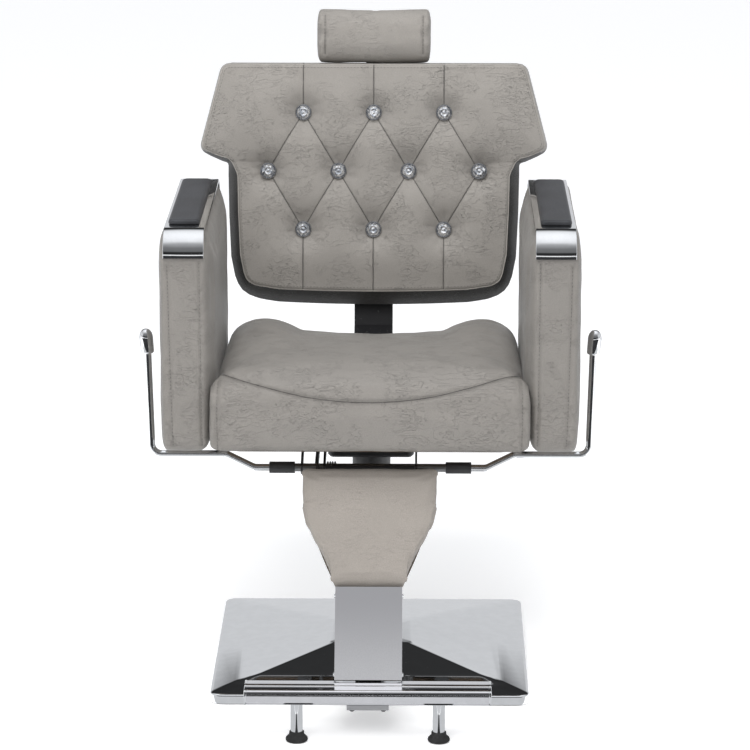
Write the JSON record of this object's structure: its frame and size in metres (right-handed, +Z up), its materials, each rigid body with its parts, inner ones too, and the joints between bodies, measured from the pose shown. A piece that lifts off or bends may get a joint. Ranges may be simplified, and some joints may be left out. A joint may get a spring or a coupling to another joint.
{
  "type": "hydraulic barber chair",
  "caption": "Padded barber chair with a tufted reclining back, headrest, armrests, calf rest and foot bar, on a hydraulic column and a square plated base.",
  "frame": {"origin": "on the floor, on the axis that the seat turns about", "axes": "+Z up, +Y to the rear of the chair, +X to the right of someone facing the chair"},
  "size_m": [0.7864, 0.8738, 1.1111],
  "materials": {
    "chrome": "polished chrome plate",
    "rubber": "matt black rubber",
    "plain_steel": "zinc plated steel",
    "ram_steel": "ground and plated steel",
    "black_paint": "semi-gloss black powder coat",
    "plywood": "bare plywood",
    "taupe_leather": "soft grained warm grey upholstery",
    "black_vinyl": "black upholstery vinyl over a shell",
    "gloss_black": "glossy black plastic",
    "stainless": "brushed stainless steel",
    "tread_alloy": "satin aluminium extrusion",
    "crystal": "clear cut crystal"
  },
  "bodies": {
    "base": {"base_cover": "chrome", "base_rubber": "rubber", "base_plate": "plain_steel", "pump_flange_bolts": "plain_steel", "pump_cylinder": "chrome", "pump_skirt": "chrome", "pump_collar": "chrome", "pedal_bracket": "black_paint", "pedal_pin": "plain_steel"},
    "pedal": {"pedal_arm": "black_paint", "pedal_pad": "rubber"},
    "ram": {"ram_column": "ram_steel", "ram_piston": "plain_steel", "thrust_washer": "plain_steel"},
    "seat": {"swivel_hub": "black_paint", "swivel_plate": "black_paint", "seat_frame": "black_paint", "seat_board": "plywood", "arm_brackets": "black_paint", "arm_panel_left": "taupe_leather", "arm_panel_right": "taupe_leather", "armrest_strip_left": "chrome", "armrest_strip_right": "chrome", "armrest_pad_left": "gloss_black", "armrest_pad_right": "gloss_black", "seat_cushion": "taupe_leather", "leg_hinge_brackets": "black_paint", "lever_spring": "plain_steel", "back_hinge_brackets": "black_paint", "gas_spring_cylinder": "black_paint"},
    "lever": {"lever_shaft": "plain_steel", "lever_sleeves": "black_paint", "lever_handle_left": "chrome", "lever_handle_right": "chrome", "lever_knobs": "gloss_black"},
    "leg_rest": {"calf_pad": "taupe_leather", "calf_board": "plywood", "leg_stem": "black_paint", "leg_hinge_pin": "plain_steel", "leg_crank": "black_paint", "stem_cover": "stainless", "stem_cover_screws": "chrome", "foot_tread": "tread_alloy", "tread_end_caps": "chrome", "tread_clamp": "plain_steel", "tread_clamp_bolts": "plain_steel", "foot_tubes": "chrome", "foot_rubbers": "rubber"},
    "back": {"back_cushion": "taupe_leather", "back_board": "black_vinyl", "button_rims": "chrome", "button_crystals": "crystal", "back_bracket": "black_paint", "back_hinge_pin": "plain_steel", "back_cranks": "black_paint", "headrest_socket": "black_paint"},
    "push_link": {"push_link": "black_paint"},
    "gas_rod": {"gas_spring_rod": "plain_steel"},
    "headrest": {"headrest_bar": "black_paint", "headrest_pad": "taupe_leather"}
  },
  "joints": [
    {"name": "ram_lift", "type": "slide", "parent": "base", "child": "ram", "axis": [0, 0, 1], "range_m": [0, 0.15]},
    {"name": "seat_swivel", "type": "hinge", "parent": "ram", "child": "seat", "pos_m": [0, 0, 0.386], "axis": [0, 0, 1], "continuous": true},
    {"name": "back_recline", "type": "hinge", "parent": "seat", "child": "back", "pos_m": [0, 0.2, 0.412], "axis": [-1, 0, 0], "range_deg": [0, 50]},
    {"name": "leg_lift", "type": "hinge", "parent": "seat", "child": "leg_rest", "pos_m": [0, -0.172, 0.388], "axis": [-1, 0, 0], "range_deg": [0, 50]},
    {"name": "link_turn", "type": "hinge", "parent": "back", "child": "push_link", "pos_m": [-0.096, 0.2, 0.372], "axis": [-1, 0, 0], "range_deg": [-50, 0]},
    {"name": "gas_rod_slide", "type": "slide", "parent": "seat", "child": "gas_rod", "axis": [0, -1, 0], "range_m": [0, 0.0339]},
    {"name": "lever_turn", "type": "hinge", "parent": "seat", "child": "lever", "pos_m": [0, -0.15, 0.389], "axis": [-1, 0, 0], "range_deg": [0, 20], "stiffness_Nm_per_rad": 10, "springref_deg": -11.46},
    {"name": "pedal_press", "type": "hinge", "parent": "base", "child": "pedal", "pos_m": [0, 0.08, 0.105], "axis": [-1, 0, 0], "range_deg": [0, 20], "stiffness_Nm_per_rad": 12, "springref_deg": -20.05},
    {"name": "headrest_slide", "type": "slide", "parent": "back", "child": "headrest", "axis": [0, 0.2215, 0.9751], "range_m": [0, 0.1]}
  ],
  "couplings": [
    {"joint": "leg_lift", "follows": "back_recline", "ratio": 1},
    {"joint": "link_turn", "follows": "back_recline", "ratio": -1},
    {"joint": "gas_rod_slide", "follows": "back_recline", "m_per_rad": 0.038743}
  ]
}
